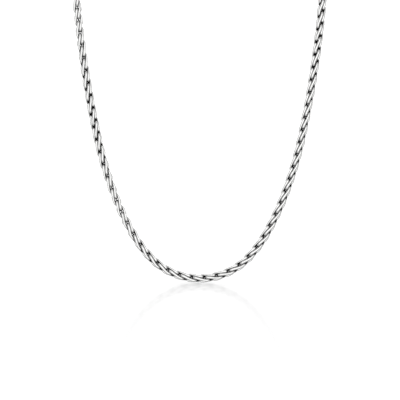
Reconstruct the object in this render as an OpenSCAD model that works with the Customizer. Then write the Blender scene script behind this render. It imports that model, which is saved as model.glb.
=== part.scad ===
// Wheat chain necklace, in millimetres, closed at the nape by a plain clasp.
// The neck goes up through the loop along +Z, and the front of the chain faces -Y.
// The origin is midway between the two sides, where the chain starts round the back of the neck.

/* [Loop] */
// Lean of the front U back from the vertical, in degrees
front_lean = 15; // [10:1:20]
// Rise of the stretch round the back of the neck from the level, in degrees
back_rise = 15; // [10:1:20]
// Bend radius where the chain turns from the front to the sides of the neck
shoulder_r = 18; // [18:0.5:21]
// Bend radius where the chain turns from the sides to the nape
nape_r = 29.5; // [29:0.5:31]

/* [Links] */
// Number of links in the whole chain
link_count = 160; // [156:2:160]
// Distance along the chain from one link to the next
link_step = 2.994; // [2.98:0.002:2.998]
// Diameter of the wire across its corners
wire_d = 1.2; // [1:0.02:1.2]
// Slide of the links and the clasp along the loop, to the right along the front
link_slide = -0.78; // [-1.4:0.02:1.4]
// Roll of the chain about its own length along the bottom of the U, in degrees
roll_low = 110; // [0:5:175]
// Further roll up the sides, in degrees for each millimetre of chain
roll_rate = 1; // [0:0.1:1]
// Distance up the left side at which that roll starts
roll_left = 30; // [20:1:130]
// Distance up the right side at which that roll starts
roll_right = 112; // [20:1:130]
// Distance up both sides at which it ends
roll_end = 155; // [135:1:160]

/* [Clasp] */
// Diameter of the clasp's body at its middle
clasp_d = 4.4; // [4:0.1:5]
// Diameter of the wire of its eyes
eye_wire_d = 1.1; // [1:0.05:1.1]
// Radius of an eye, to the middle of its wire
eye_r = 1.9; // [1.9:0.05:2.1]
// Free play between an eye's wire and the link that hangs on it
eye_play = 0.2; // [0.15:0.05:0.3]

/* [Hidden] */

round_fn = 64;

// The front of the loop from its lowest point up to where it runs straight up: radius, turn
front_arcs = [
    [32, 46.8],
    [58, 13.2],
    [127, 8.3],
    [180, 9.2],
    [509, 7.8],
    [52, 4.7]
];

// The right side of one link: distance from the chain's centre line, place along it, twist
link_side = [
    [1.00, 3.86, 37],
    [1.52, 2.13, 27.6],
    [1.52, 0, 0],
    [1.52, -2.13, -27.6],
    [1.00, -3.86, -37]
];
// The left side is the right side half a turn on
link_outline = concat(link_side, [for (k = [len(link_side) - 1:-1:0])
    [-link_side[k][0], link_side[k][1], link_side[k][2]]]);
wire_sides = 5;
ring_turn = 0;

// Kinds of bend: towards the middle of the loop, or towards the back
inwards = 0;
backwards = 90;

function arc_length(radius, turn) = radius * turn * PI / 180;

// Width of the front arcs, from the middle to where they run straight up
function width_after(arcs, k = 0, turned = 0) =
    k == len(arcs) ? 0 :
    arcs[k][0] * (sin(turned + arcs[k][1]) - sin(turned)) + width_after(arcs, k + 1, turned + arcs[k][1]);
half_width = width_after(front_arcs);

shoulder_turn = 90 - front_lean - back_rise;

// Half of the loop as stretches: length, turn, kind of bend
route = concat(
    [for (a = front_arcs) [arc_length(a[0], a[1]), a[1], inwards]],
    [
        [arc_length(shoulder_r, shoulder_turn), shoulder_turn, backwards],
        [arc_length(nape_r, 90), 90, inwards],
        [half_width - nape_r, 0, inwards]
    ]
);

// A place on the loop is its point, the direction of travel, the direction to the inside, and outwards
function moved(place, distance, turn, kind) =
    let (
        bend_dir = place[2] * cos(kind) - place[3] * sin(kind),
        side_dir = place[2] * sin(kind) + place[3] * cos(kind),
        radius = turn == 0 ? 0 : distance * 180 / (PI * turn),
        shift = turn == 0 ? place[1] * distance
            : radius * (place[1] * sin(turn) + bend_dir * (1 - cos(turn))),
        new_bend = bend_dir * cos(turn) - place[1] * sin(turn)
    )
    [
        place[0] + shift,
        place[1] * cos(turn) + bend_dir * sin(turn),
        new_bend * cos(kind) + side_dir * sin(kind),
        side_dir * cos(kind) - new_bend * sin(kind)
    ];

function places_from(place, k = 0) =
    k == len(route) ? [place]
    : concat([place], places_from(moved(place, route[k][0], route[k][1], route[k][2]), k + 1));

function lengths_from(total = 0, k = 0) =
    k == len(route) ? [total] : concat([total], lengths_from(total + route[k][0], k + 1));

// The loop is laid out from its lowest point, then shifted so that the origin is level with its sides
lowest = [[0, 0, 0], [1, 0, 0], [0, sin(front_lean), cos(front_lean)], [0, -cos(front_lean), sin(front_lean)]];
sides_index = len(front_arcs) + 1;
sides_point = places_from(lowest)[sides_index][0];
lowest_shifted = [[0, -sides_point[1], -sides_point[2]], lowest[1], lowest[2], lowest[3]];
stretch_places = places_from(lowest_shifted);
stretch_starts = lengths_from();
half_loop = stretch_starts[len(route)];
nape = stretch_places[len(route)][0];

function stretch_at(distance, k = 0) =
    k == len(route) - 1 || distance < stretch_starts[k + 1] ? k : stretch_at(distance, k + 1);

function place_on_right(distance) =
    let (
        k = stretch_at(distance),
        part = distance - stretch_starts[k]
    )
    moved(stretch_places[k], part, route[k][1] * part / route[k][0], route[k][2]);

// The left half mirrors the right half, and travel still runs from left to right along the front
function place_at(distance) =
    distance >= 0 ? place_on_right(distance)
    : let (p = place_on_right(-distance))
    [
        [-p[0][0], p[0][1], p[0][2]],
        [p[1][0], -p[1][1], -p[1][2]],
        [-p[2][0], p[2][1], p[2][2]],
        [-p[3][0], p[3][1], p[3][2]]
    ];

function unit(v) = v / norm(v);

// Wire centre of one link in its own frame, with the link's twist along its length
link_wire = [for (row = link_outline) [row[0] * cos(row[2]), row[0] * sin(row[2]), row[1]]];
wire_count = len(link_wire);

// The wire's skin: a ring of points round each point of its centre
function wire_ring(k) =
    let (
        before = link_wire[(k + wire_count - 1) % wire_count],
        here = link_wire[k],
        after = link_wire[(k + 1) % wire_count],
        along = unit(unit(after - here) + unit(here - before)),
        flat_normal = [-sin(link_outline[k][2]), cos(link_outline[k][2]), 0],
        first_dir = unit(flat_normal - (flat_normal * along) * along),
        second_dir = cross(along, first_dir)
    )
    [for (j = [0:wire_sides - 1])
        let (angle = ring_turn + j * 360 / wire_sides)
        here + wire_d / 2 * (cos(angle) * first_dir + sin(angle) * second_dir)];
link_skin = [for (k = [0:wire_count - 1]) each wire_ring(k)];
skin_count = len(link_skin);

// Two triangles for each side of each length of wire
link_faces = [for (k = [0:wire_count - 1], j = [0:wire_sides - 1])
    let (
        next_k = (k + 1) % wire_count,
        next_j = (j + 1) % wire_sides,
        a = k * wire_sides + j,
        b = next_k * wire_sides + j,
        c = next_k * wire_sides + next_j,
        d = k * wire_sides + next_j
    )
    each [[a, b, c], [a, c, d]]];

// Links are counted from the lowest point of the loop: 0, 1, 2 to the right and -1, -2 to the left
function link_distance(index) = (index + 0.5) * link_step + link_slide;

// Length of the rolling stretch that lies below a place
function rolled_length(distance, start) = min(max(distance - start, 0), roll_end - start);

// Each link stands a quarter turn from the one before, on top of the chain's own slow roll
function link_roll(index) =
    let (distance = link_distance(index))
    90 * index + roll_low
        + roll_rate * (rolled_length(-distance, roll_left) - rolled_length(distance, roll_right));

// A link follows the loop's own curve over its short length
function link_points(index) =
    let (
        roll = link_roll(index),
        middle = link_distance(index)
    )
    [for (v = link_skin)
        let (place = place_at(middle + v[2]))
        place[0] + place[2] * (v[0] * cos(roll) - v[1] * sin(roll))
            + place[3] * (v[0] * sin(roll) + v[1] * cos(roll))];

module links(first, count) {
    polyhedron(
        points = [for (n = [0:count - 1]) each link_points(first + n)],
        faces = [for (n = [0:count - 1], f = link_faces) [for (corner = f) corner + n * skin_count]]
    );
}

half_count = link_count / 2;

module chain_left() {
    color("silver")
        links(-half_count, half_count);
}

module chain_right() {
    color("silver")
        links(0, half_count);
}

// The clasp lies midway between the two ends of the chain and slides round with them
clasp_middle = nape - [link_slide, 0, 0];

// The last link's end bar lies inside the eye, and the eye's far wire inside the link
end_bar_place = half_loop - (half_count - 0.5) * link_step - link_side[0][1];
eye_place = end_bar_place + wire_d / 2 + eye_play + eye_wire_d / 2 - eye_r;
body_half = eye_place - eye_r + eye_wire_d / 4;
shoulder_half = body_half * 0.72;
neck_half_d = eye_wire_d / 2;

// Turn about X that sets an eye's plane across the end bar of the link that hangs on it
function eye_turn(bar_angle) = 90 + back_rise - bar_angle;

module eye(x, turn) {
    translate([x, 0, 0])
        rotate([turn, 0, 0])
            rotate_extrude($fn = round_fn)
                translate([eye_r, 0])
                    circle(d = eye_wire_d, $fn = round_fn);
}

module clasp_body() {
    rotate([0, 90, 0])
        rotate_extrude($fn = round_fn)
            polygon([
                [0, -body_half],
                [neck_half_d, -body_half],
                [clasp_d / 2, -shoulder_half],
                [clasp_d / 2, shoulder_half],
                [neck_half_d, body_half],
                [0, body_half]
            ]);
}

module clasp() {
    color("silver")
        translate(clasp_middle) {
            clasp_body();
            eye(eye_place, eye_turn(link_roll(half_count - 1) + link_side[0][2]));
            eye(-eye_place, eye_turn(link_roll(-half_count) - link_side[0][2]));
        }
}

chain_left();
chain_right();
clasp();
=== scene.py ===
import math

import bpy
import numpy as np
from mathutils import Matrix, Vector


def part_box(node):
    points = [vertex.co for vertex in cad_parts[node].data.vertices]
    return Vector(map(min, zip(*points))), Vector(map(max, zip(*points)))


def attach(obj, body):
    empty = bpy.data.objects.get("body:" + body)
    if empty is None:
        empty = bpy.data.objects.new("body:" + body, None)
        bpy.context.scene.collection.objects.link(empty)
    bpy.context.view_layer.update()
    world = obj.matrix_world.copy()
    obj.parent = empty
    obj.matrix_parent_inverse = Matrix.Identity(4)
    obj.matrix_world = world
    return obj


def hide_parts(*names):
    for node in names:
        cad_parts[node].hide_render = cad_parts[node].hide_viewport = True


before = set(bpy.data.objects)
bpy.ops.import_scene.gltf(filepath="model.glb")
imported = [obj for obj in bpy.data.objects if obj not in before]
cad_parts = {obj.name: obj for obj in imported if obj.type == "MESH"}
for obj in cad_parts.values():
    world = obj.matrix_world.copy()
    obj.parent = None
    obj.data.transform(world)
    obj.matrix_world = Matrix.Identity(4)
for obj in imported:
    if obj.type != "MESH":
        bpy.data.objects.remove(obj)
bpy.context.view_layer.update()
print("frame loaded:", ", ".join(sorted(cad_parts)))

mm = 0.001  # lengths below are in millimetres and are scaled once, where a mesh is made

# The loop that the chain hangs in, from its lowest point up one side and round to the nape
loop = {
    "frontLean": 15.0,  # degrees that the front U leans back
    "backRise": 15.0,  # degrees that the stretch round the back rises
    "frontArcs": [(32, 46.8), (58, 13.2), (127, 8.3), (180, 9.2), (509, 7.8), (52, 4.7)],  # radius, turn
    "shoulderRadius": 18.0,
    "napeRadius": 29.5,
}
inwards, backwards = 0.0, math.pi / 2  # the two ways that a stretch bends


def moved(place, distance, turn, kind):
    # Along an arc of angle a and length d a point goes d sin(a) / a ahead and d (1 - cos(a)) / a to the
    # side, and the directions turn by a. The sinc forms hold on a straight stretch too, where a is nought.
    point, along, inside, outside = place
    distance, turn, kind = (np.asarray(v, float)[..., None] for v in (distance, turn, kind))
    bendWay = inside * np.cos(kind) - outside * np.sin(kind)
    sideWay = inside * np.sin(kind) + outside * np.cos(kind)
    ahead = distance * np.sinc(turn / np.pi)
    over = distance * turn / 2 * np.sinc(turn / 2 / np.pi) ** 2
    newBend = bendWay * np.cos(turn) - along * np.sin(turn)
    return (
        point + along * ahead + bendWay * over,
        along * np.cos(turn) + bendWay * np.sin(turn),
        newBend * np.cos(kind) + sideWay * np.sin(kind),
        sideWay * np.cos(kind) - newBend * np.sin(kind),
    )


def makeRoute():
    # Half the loop as stretches of length, turn and way of bending, and the place where each one starts
    lean = math.radians(loop["frontLean"])
    turns = np.radians([turn for _, turn in loop["frontArcs"]])
    radii = np.array([radius for radius, _ in loop["frontArcs"]], float)
    ends = np.cumsum(turns)
    halfWidth = float(np.sum(radii * (np.sin(ends) - np.sin(ends - turns))))
    shoulderTurn = math.radians(90 - loop["frontLean"] - loop["backRise"])
    lengths = [*(radii * turns), loop["shoulderRadius"] * shoulderTurn, loop["napeRadius"] * math.pi / 2,
               halfWidth - loop["napeRadius"]]
    turns = [*turns, shoulderTurn, math.pi / 2, 0.0]
    kinds = [inwards] * len(radii) + [backwards, inwards, inwards]
    place = tuple(np.array(v, float) for v in (
        (0, 0, 0), (1, 0, 0), (0, math.sin(lean), math.cos(lean)), (0, -math.cos(lean), math.sin(lean))))
    places = [place]
    for length, turn, kind in zip(lengths, turns, kinds):
        place = moved(place, length, turn, kind)
        places.append(place)
    # The origin is level with the two sides, where the chain starts round the back of the neck
    shift = np.array([0, *-places[len(radii) + 1][0][1:]])
    starts = [np.stack([p[k] for p in places]) for k in range(4)]
    starts[0] = starts[0] + shift
    return {
        "lengths": np.array(lengths), "turns": np.array(turns), "kinds": np.array(kinds),
        "distances": np.concatenate([[0], np.cumsum(lengths)]), "places": starts,
    }


route = makeRoute()
lowestPoint = route["places"][0][0]
nape = route["places"][0][-1]


def placeAt(distance):
    # A place at each signed distance from the lowest point. The left half mirrors the right one in x, and
    # travel still runs from left to right along the front.
    size = np.abs(distance)
    k = np.clip(np.searchsorted(route["distances"], size, side="right") - 1, 0, len(route["lengths"]) - 1)
    part = size - route["distances"][k]
    starts = tuple(v[k] for v in route["places"])
    point, along, inside, outside = moved(
        starts, part, route["turns"][k] * part / route["lengths"][k], route["kinds"][k])
    side = np.where(distance < 0, -1.0, 1.0)[..., None]
    flip = np.concatenate([side, np.ones_like(side), np.ones_like(side)], -1)
    return point * flip, along * flip * side, inside * flip, outside * flip


# The chain's links. The outline is half of one side of a link's wire centre, from its end to its middle
links = {
    "count": 160,
    "step": 2.994,
    "slide": -0.78,  # of all the links along the loop
    "wireDiameter": 1.2,
    "outline": [(0.58, 3.78, 35.4), (1.32, 3.09, 30.9), (1.49, 1.29, 15.4)],  # off axis, along, twist
    "rollLow": 110.0,  # roll of the chain about its own length along the bottom of the U, in degrees
    "rollRate": 1.0,  # further roll up the sides, in degrees for each millimetre of chain
    "rollLeft": 30.0,  # how far up the left side that starts
    "rollRight": 112.0,  # and up the right side
    "rollEnd": 155.0,  # and how far up both it ends
    "wireSides": 6,  # corners round the wire before it is smoothed
    "smoothing": 2,  # how many times the links are subdivided
    "facingWeight": 0.5,  # share of the skin's own direction in how open it lies, for the painted shade in the chain's recesses
}


def linkDistance(index):
    return (index + 0.5) * links["step"] + links["slide"]


def rolledLength(distance, start):
    return np.clip(distance - start, 0, links["rollEnd"] - start)


def linkRoll(index):
    # Each link stands a quarter turn from the one before, on top of the chain's own slow roll
    distance = linkDistance(index)
    extra = rolledLength(-distance, links["rollLeft"]) - rolledLength(distance, links["rollRight"])
    return np.radians(90 * index + links["rollLow"] + links["rollRate"] * extra)


def wireCentre():
    # The outline is mirrored end for end, then turned half round the axis for the other side of the link
    off, along, twist = np.array(links["outline"]).T
    off = np.concatenate([off, off[::-1]])
    along = np.concatenate([along, -along[::-1]])
    twist = np.radians(np.concatenate([twist, -twist[::-1]]))
    off = np.concatenate([off, -off[::-1]])
    along = np.concatenate([along, along[::-1]])
    twist = np.concatenate([twist, twist[::-1]])
    normal = np.stack([-np.sin(twist), np.cos(twist), 0 * twist], -1)
    return np.stack([off * np.cos(twist), off * np.sin(twist), along], -1), normal


def unit(v):
    return v / np.linalg.norm(v, axis=-1, keepdims=True)


def wireSkin():
    # Skin point (k, j) = centre k + radius (cos(j) first + sin(j) second), on a ring square to the wire
    centre, normal = wireCentre()
    tangent = unit(np.roll(centre, -1, 0) - np.roll(centre, 1, 0))
    first = unit(normal - np.sum(normal * tangent, -1, keepdims=True) * tangent)
    second = np.cross(tangent, first)
    angle = np.arange(links["wireSides"])[None, :, None] * 2 * np.pi / links["wireSides"]
    return centre[:, None] + links["wireDiameter"] / 2 * (
        np.cos(angle) * first[:, None] + np.sin(angle) * second[:, None])


def cageThrough(points):
    # Smoothing leaves each point of a closed row at two thirds of itself and a sixth of each neighbour.
    # Undoing that along the wire and then round it gives the cage whose smooth surface meets the points.
    for axis in (0, 1):
        same = np.eye(points.shape[axis])
        blend = (4 * same + np.roll(same, 1, 0) + np.roll(same, -1, 0)) / 6
        points = np.moveaxis(np.tensordot(np.linalg.inv(blend), points, (1, axis)), 0, axis)
    return points


def linkPoints(skin, indices):
    # A link follows the loop's own curve over its short length, turned by its roll
    roll = linkRoll(indices)[:, None, None]
    distance = linkDistance(indices)[:, None, None] + skin[None, :, :, 2]
    point, _, inside, outside = placeAt(distance)
    x = skin[None, :, :, 0] * np.cos(roll) - skin[None, :, :, 1] * np.sin(roll)
    y = skin[None, :, :, 0] * np.sin(roll) + skin[None, :, :, 1] * np.cos(roll)
    return point + inside * x[..., None] + outside * y[..., None]


def ringFaces(copies, rings, sides):
    # Four-cornered faces between each ring and the next, closed both ways, for each copy
    number = np.arange(copies * rings * sides).reshape(copies, rings, sides)
    ahead = np.roll(number, -1, 1)
    corners = [number, np.roll(number, -1, 2), np.roll(ahead, -1, 2), ahead]
    return np.stack(corners, -1).reshape(-1, 4)


def meshObject(name, points, faces):
    mesh = bpy.data.meshes.new(name)
    mesh.from_pydata((points.reshape(-1, 3) * mm).tolist(), [], faces)
    mesh.polygons.foreach_set("use_smooth", np.ones(len(mesh.polygons), bool))
    mesh.update()
    made = bpy.data.objects.new(name, mesh)
    bpy.context.scene.collection.objects.link(made)
    return made


def smooth(piece, levels):
    surface = piece.modifiers.new("smooth", "SUBSURF")
    surface.levels = surface.render_levels = levels
    return piece


def addWireMap(piece, copies, rings, sides, ringLength, sideLength):
    # Across the map runs the length of the wire and up it the way round, both in millimetres
    ring = np.tile(np.repeat(np.arange(rings), sides), copies)
    side = np.tile(np.arange(sides), copies * rings)
    link = np.repeat(np.arange(copies), rings * sides)
    corners = np.array([(0, 0), (0, 1), (1, 1), (1, 0)])
    across = (ring[:, None] + corners[None, :, 0]) * ringLength + link[:, None] * rings * ringLength
    up = (side[:, None] + corners[None, :, 1]) * sideLength
    layer = piece.data.uv_layers.new(name="wireMap")
    layer.data.foreach_set("uv", np.stack([across, up], -1).astype(np.float32).ravel())


def makeLinks(name, first, count):
    skin = wireSkin()
    indices = first + np.arange(count)
    rings, sides = skin.shape[:2]
    faces = ringFaces(count, rings, sides).tolist()
    piece = meshObject(name, linkPoints(cageThrough(skin), indices), faces)
    # Openness = distance off the chain's axis + weight * how squarely the skin looks away from the axis
    centre = wireCentre()[0]
    offAxis = np.linalg.norm(skin[..., :2], axis=-1)
    skinWay = unit(skin - centre[:, None])
    facing = np.sum(skinWay[..., :2] * skin[..., :2], -1) / offAxis
    # The chain's material paints shade into its colour where this openness is low
    openness = np.tile((offAxis + links["facingWeight"] * facing).ravel(), count)
    layer = piece.data.attributes.new("openness", "FLOAT", "POINT")
    layer.data.foreach_set("value", openness.astype(np.float32))
    wireLength = float(np.linalg.norm(np.roll(centre, -1, 0) - centre, axis=-1).sum())
    addWireMap(piece, count, rings, sides, wireLength / rings, math.pi * links["wireDiameter"] / sides)
    return smooth(piece, links["smoothing"])


halfLoop = float(route["distances"][-1])
halfCount = links["count"] // 2
print("route ready, half loop %.1f mm" % halfLoop)
chainLeft = makeLinks("chainLeft", -halfCount, halfCount)
chainRight = makeLinks("chainRight", 0, halfCount)
print("links made")

# The plain clasp at the nape: a barrel with an eye at each end, midway between the two ends of the chain
clasp = {
    "diameter": 4.4,
    "shoulder": 0.72,  # where the barrel starts to narrow, as a share of its half length
    "edgeRounding": 0.1,
    "seat": 0.25,  # how far the barrel reaches past the middle of an eye's wire, as a share of its diameter
    "eyeWire": 1.1,  # diameter
    "eyeRadius": 1.9,  # to the middle of its wire
    "eyePlay": 0.2,  # between an eye's wire and the link that hangs on it
    "linkEnd": 3.86,  # from the middle of the last link to its end bar
    "barrelRows": 72,
    "barrelSides": 64,
    "eyeSides": 72,
    "eyeWireSides": 24,
}


def ringEye(side, eyePlace):
    # Torus: a small circle of the eye's wire carried round a circle of the eye's radius. It is turned
    # about x so that it stands across the end bar of the link that hangs on it.
    lastLink = halfCount - 1 if side > 0 else -halfCount
    barAngle = linkRoll(lastLink) + side * math.radians(links["outline"][0][2])
    turn = math.radians(90 + loop["backRise"]) - barAngle
    a = np.arange(clasp["eyeSides"])[:, None] * 2 * np.pi / clasp["eyeSides"]
    b = np.arange(clasp["eyeWireSides"])[None] * 2 * np.pi / clasp["eyeWireSides"]
    radius = clasp["eyeRadius"] + clasp["eyeWire"] / 2 * np.cos(b)
    x, y, z = radius * np.cos(a), radius * np.sin(a), clasp["eyeWire"] / 2 * np.sin(b) + 0 * a
    points = np.stack([
        side * eyePlace + x, y * np.cos(turn) - z * np.sin(turn), y * np.sin(turn) + z * np.cos(turn)], -1)
    # The rows run the other way round than a link's, so each face is reversed to point outwards
    faces = ringFaces(1, clasp["eyeSides"], clasp["eyeWireSides"])[:, ::-1]
    return points.reshape(-1, 3), faces.tolist()


def barrel(halfLength):
    # Radius r(x) is the rounded lesser of the full radius and the cone that narrows from the shoulder to
    # the end: r = -k ln(exp(-full / k) + exp(-cone / k)). It goes round the x axis, closed at both ends.
    full, end, k = clasp["diameter"] / 2, clasp["eyeWire"] / 2, clasp["edgeRounding"]
    x = np.linspace(-halfLength, halfLength, clasp["barrelRows"])
    shoulder = clasp["shoulder"] * halfLength
    cone = full + (end - full) * (np.abs(x) - shoulder) / (halfLength - shoulder)
    r = -k * np.log(np.exp(-full / k) + np.exp(-cone / k))
    a = np.arange(clasp["barrelSides"])[None] * 2 * np.pi / clasp["barrelSides"]
    points = np.stack([x[:, None] + 0 * a, r[:, None] * np.cos(a), r[:, None] * np.sin(a)], -1)
    number = np.arange(points.shape[0] * points.shape[1]).reshape(points.shape[:2])
    corners = [number[:-1], np.roll(number[:-1], -1, 1), np.roll(number[1:], -1, 1), number[1:]]
    faces = np.stack(corners, -1).reshape(-1, 4).tolist()
    faces += [number[0][::-1].tolist(), number[-1].tolist()]
    return points.reshape(-1, 3), faces


def makeClasp(name):
    endBar = halfLoop - (halfCount - 0.5) * links["step"] - clasp["linkEnd"]
    reach = links["wireDiameter"] / 2 + clasp["eyePlay"] + clasp["eyeWire"] / 2
    eyePlace = endBar + reach - clasp["eyeRadius"]
    parts = [
        barrel(eyePlace - clasp["eyeRadius"] + clasp["seat"] * clasp["eyeWire"]),
        ringEye(1, eyePlace),
        ringEye(-1, eyePlace),
    ]
    points, faces = [], []
    for partPoints, partFaces in parts:
        start = sum(len(p) for p in points)
        points.append(partPoints)
        faces += [[corner + start for corner in face] for face in partFaces]
    middle = nape - (links["slide"], 0, 0)
    return meshObject(name, np.concatenate(points) + middle, faces)


claspBody = makeClasp("claspBody")
print("clasp made")


class Value:
    # A socket of a material. An expression on it adds the Math nodes that work it out.
    def __init__(self, tree, socket=None):
        self.tree = tree
        self.socket = socket

    def node(self, kind, settings, inputs, output=0):
        # Adds one node of the same material: its settings first, then a value or a link for each socket
        made = self.tree.nodes.new("ShaderNode" + kind)
        for name, value in settings.items():
            setattr(made, name, value)
        for name, value in inputs.items():
            if isinstance(value, Value):
                self.tree.links.new(value.socket, made.inputs[name])
            else:
                made.inputs[name].default_value = value
        return Value(self.tree, made.outputs[output])

    def maths(self, operation, first, second):
        return self.node("Math", {"operation": operation}, {0: first, 1: second})

    def __add__(self, other):
        return self.maths("ADD", self, other)

    def __radd__(self, other):
        return self.maths("ADD", other, self)

    def __sub__(self, other):
        return self.maths("SUBTRACT", self, other)

    def __rsub__(self, other):
        return self.maths("SUBTRACT", other, self)

    def __mul__(self, other):
        return self.maths("MULTIPLY", self, other)

    def __rmul__(self, other):
        return self.maths("MULTIPLY", other, self)

    def blend(self, first, second):
        # From the first colour to the second. In a Mix node, 6 and 7 are colour inputs and 2 the output.
        return self.node("Mix", {"data_type": "RGBA"}, {"Factor": self, 6: first, 7: second}, 2)


silver = {
    "colour": (0.93, 0.93, 0.925, 1.0),
    "dull": (0.84, 0.84, 0.83, 1.0),  # where the polish has gone cloudy
    # near black: painted shade in the chain's recesses, and random tarnish patches on the clasp
    "paintedShadeAndTarnish": (0.005, 0.005, 0.005, 1.0),
    "cloudNoise": {"Scale": 1.3, "Detail": 3.0},  # scales of noise are per millimetre
    "fineNoise": {"Scale": 9.0, "Detail": 4.0, "Roughness": 0.65},
    "lineNoise": {"Scale": 1.0, "Detail": 3.0, "Roughness": 0.6},
    "dullRange": {"From Min": 0.45, "From Max": 0.75},  # of the cloud noise, from polished to dull
    "roughness": 0.06,
    # roughness where the chain has painted shade and where the clasp has tarnish
    "shadeAndTarnishRoughness": 0.4,
    "fineRoughness": 0.1,  # what fine noise, dullness and lines add to the roughness
    "dullRoughness": 0.06,
    "lineRoughness": 0.05,
    # Painted shade on the chain, darkest in its recesses, by how open the skin lies, in millimetres: from
    # unshaded to fully shaded
    "paintedShadeRange": {"From Min": 1.9, "From Max": 1.48},
    "cloudiness": 0.2,
    "claspTarnishRange": {"From Min": 0.6, "From Max": 1.0, "To Max": 0.3},  # of the cloud noise
    "wireLines": (0.7, 15.0, 0.0),  # drawn lines per millimetre, along the wire and round it
    "turnedLines": (12.0, 0.7, 0.7),  # turned lines on the clasp, along x and across it
    "lineDepth": 0.0000006,  # depths are in metres
    "dentSpacing": 1.6,
    "dentRange": {"From Min": 0.0, "From Max": 0.3},  # from a dent's middle to its rim, in spacings
    "dentDepth": 0.000006,
}
noiseMiddle = 0.5
softStep = {"interpolation_type": "SMOOTHSTEP"}


def silverMaterial(name, onChain):
    material = bpy.data.materials.new(name)
    material.use_nodes = True
    tree = material.node_tree
    tree.nodes.clear()
    start = Value(tree)
    place = start.node("TexCoord", {}, {}, "Object")
    inMm = start.node("VectorMath", {"operation": "SCALE"}, {0: place, "Scale": 1 / mm})
    cloudy = start.node("TexNoise", {}, {"Vector": inMm, **silver["cloudNoise"]})
    fine = start.node("TexNoise", {}, {"Vector": inMm, **silver["fineNoise"]})
    dent = start.node("TexVoronoi", {"feature": "F1"}, {"Vector": inMm, "Scale": 1 / silver["dentSpacing"]})
    hollow = start.node("MapRange", softStep, {"Value": dent, **silver["dentRange"]})
    if onChain:
        # Painted shade: the colour darkens where the skin is sheltered, near the chain's axis or turned
        # towards it
        linePlace = start.node("UVMap", {"uv_map": "wireMap"}, {})
        lineScale = silver["wireLines"]
        openness = start.node("Attribute", {"attribute_name": "openness"}, {}, "Fac")
        openness = openness + silver["cloudiness"] * (cloudy - noiseMiddle)
        dark = start.node("MapRange", softStep, {"Value": openness, **silver["paintedShadeRange"]})
    else:
        linePlace = inMm
        lineScale = silver["turnedLines"]
        dark = start.node("MapRange", softStep, {"Value": cloudy, **silver["claspTarnishRange"]})
    lineMap = start.node("VectorMath", {"operation": "MULTIPLY"}, {0: linePlace, 1: lineScale})
    lines = start.node("TexNoise", {}, {"Vector": lineMap, **silver["lineNoise"]})
    dulled = start.node("MapRange", {}, {"Value": cloudy, **silver["dullRange"]})
    # The dark mask blends to near black. On the chain this is painted shade, and on the clasp it is random
    # tarnish.
    colour = dark.blend(dulled.blend(silver["colour"], silver["dull"]), silver["paintedShadeAndTarnish"])
    rough = silver["roughness"] + silver["fineRoughness"] * (fine - noiseMiddle)
    rough = rough + silver["dullRoughness"] * dulled + silver["lineRoughness"] * lines
    rough = rough + (silver["shadeAndTarnishRoughness"] - silver["roughness"]) * dark
    dented = start.node("Bump", {}, {"Height": hollow, "Strength": 1.0, "Distance": silver["dentDepth"]})
    lined = start.node("Bump", {}, {
        "Height": lines, "Strength": 1.0, "Distance": silver["lineDepth"], "Normal": dented})
    shader = start.node("BsdfPrincipled", {}, {
        "Metallic": 1.0, "Base Color": colour, "Roughness": rough, "Normal": lined})
    output = tree.nodes.new("ShaderNodeOutputMaterial")
    tree.links.new(shader.socket, output.inputs["Surface"])
    return material


chainSilver = silverMaterial("polishedSilver", True)
claspSilver = silverMaterial("claspSilver", False)
for piece, node, slot, material in (
        (chainLeft, "chain_left", "chain", chainSilver),
        (chainRight, "chain_right", "chain", chainSilver),
        (claspBody, "clasp", "clasp", claspSilver)):
    piece.data.materials.append(material)
    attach(piece, "root")
    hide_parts(node)
print("materials ready")

stage = {
    "floorSize": 12000.0,
    "floorGap": 0.15,  # below the lowest link
    "floorColour": (0.9, 0.9, 0.9, 1.0),
    "floorRoughness": 0.12,
    "floorShine": 0.15,
    "floorGlow": 0.295,
    "worldColour": (0.5, 0.5, 0.5, 1.0),
    "cameraDistance": 1500.0,
    "viewReach": 20000.0,
    "pictureWidth": 188.6,  # millimetres across the picture at the front of the chain
    "pictureRise": 36.95,  # how far up the front the middle of the picture is
    "pictureShift": 0.19,
    # Soft lights: degrees round from the front, degrees up, distance, width, height, brightness
    "softboxes": {
        "frontBox": (0, 15, 2000, 3100, 3100, 0.77),
        "backBox": (180, 10, 2000, 4400, 4400, 1.0),
    },
}


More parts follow.
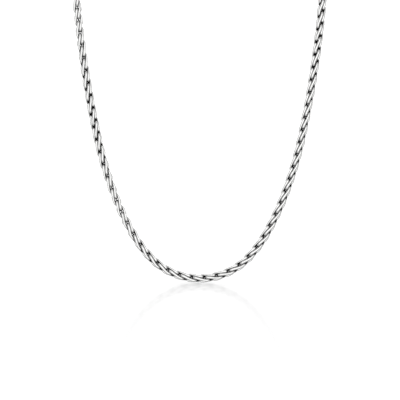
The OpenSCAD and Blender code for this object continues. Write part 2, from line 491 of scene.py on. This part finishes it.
def makeFloor(bottom):
    half = stage["floorSize"] / 2
    corners = [(-half, -half, bottom), (half, -half, bottom), (half, half, bottom), (-half, half, bottom)]
    floor = meshObject("floor", np.array(corners), [[0, 1, 2, 3]])
    material = bpy.data.materials.new("paleFloor")
    material.use_nodes = True
    shader = material.node_tree.nodes["Principled BSDF"]
    shader.inputs["Base Color"].default_value = stage["floorColour"]
    shader.inputs["Roughness"].default_value = stage["floorRoughness"]
    shader.inputs["Specular IOR Level"].default_value = stage["floorShine"]
    shader.inputs["Emission Color"].default_value = (1.0, 1.0, 1.0, 1.0)
    shader.inputs["Emission Strength"].default_value = stage["floorGlow"]
    floor.data.materials.append(material)
    floor.visible_glossy = False


def softbox(name, target, azimuth, elevation, distance, width, height, brightness):
    # A flat lamp that faces the target. Its power is brightness * pi * area.
    light = bpy.data.lights.new(name, "AREA")
    light.shape = "RECTANGLE"
    light.size, light.size_y = width * mm, height * mm
    light.energy = brightness * math.pi * light.size * light.size_y
    a, e = math.radians(azimuth), math.radians(elevation)
    away = Vector((math.sin(a) * math.cos(e), -math.cos(a) * math.cos(e), math.sin(e)))
    made = bpy.data.objects.new(name, light)
    made.location = Vector(target * mm) + away * distance * mm
    made.rotation_euler = away.to_track_quat("Z", "Y").to_euler()
    made.visible_camera = False
    bpy.context.scene.collection.objects.link(made)


lowestZ = float(min(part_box("chain_left")[0].z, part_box("chain_right")[0].z)) / mm
makeFloor(lowestZ - stage["floorGap"])
lean = math.radians(loop["frontLean"])
upFront = np.array([0, math.sin(lean), math.cos(lean)])
towardsCamera = np.array([0, -math.cos(lean), math.sin(lean)])
target = lowestPoint + upFront * stage["pictureRise"] + np.array([stage["pictureShift"], 0, 0])
for name, values in stage["softboxes"].items():
    softbox(name, target, *values)

world = bpy.data.worlds.new("studio")
world.use_nodes = True
world.node_tree.nodes["Background"].inputs["Color"].default_value = stage["worldColour"]
bpy.context.scene.world = world
bpy.context.scene.view_settings.view_transform = "Standard"

camera = bpy.data.objects.new("camera", bpy.data.cameras.new("camera"))
camera.data.lens = camera.data.sensor_width * stage["cameraDistance"] / stage["pictureWidth"]
camera.data.clip_end = stage["viewReach"] * mm
camera.location = (target + towardsCamera * stage["cameraDistance"]) * mm
camera.rotation_euler = (math.pi / 2 - lean, 0, 0)
bpy.context.scene.collection.objects.link(camera)
bpy.context.scene.camera = camera
print("stage ready")
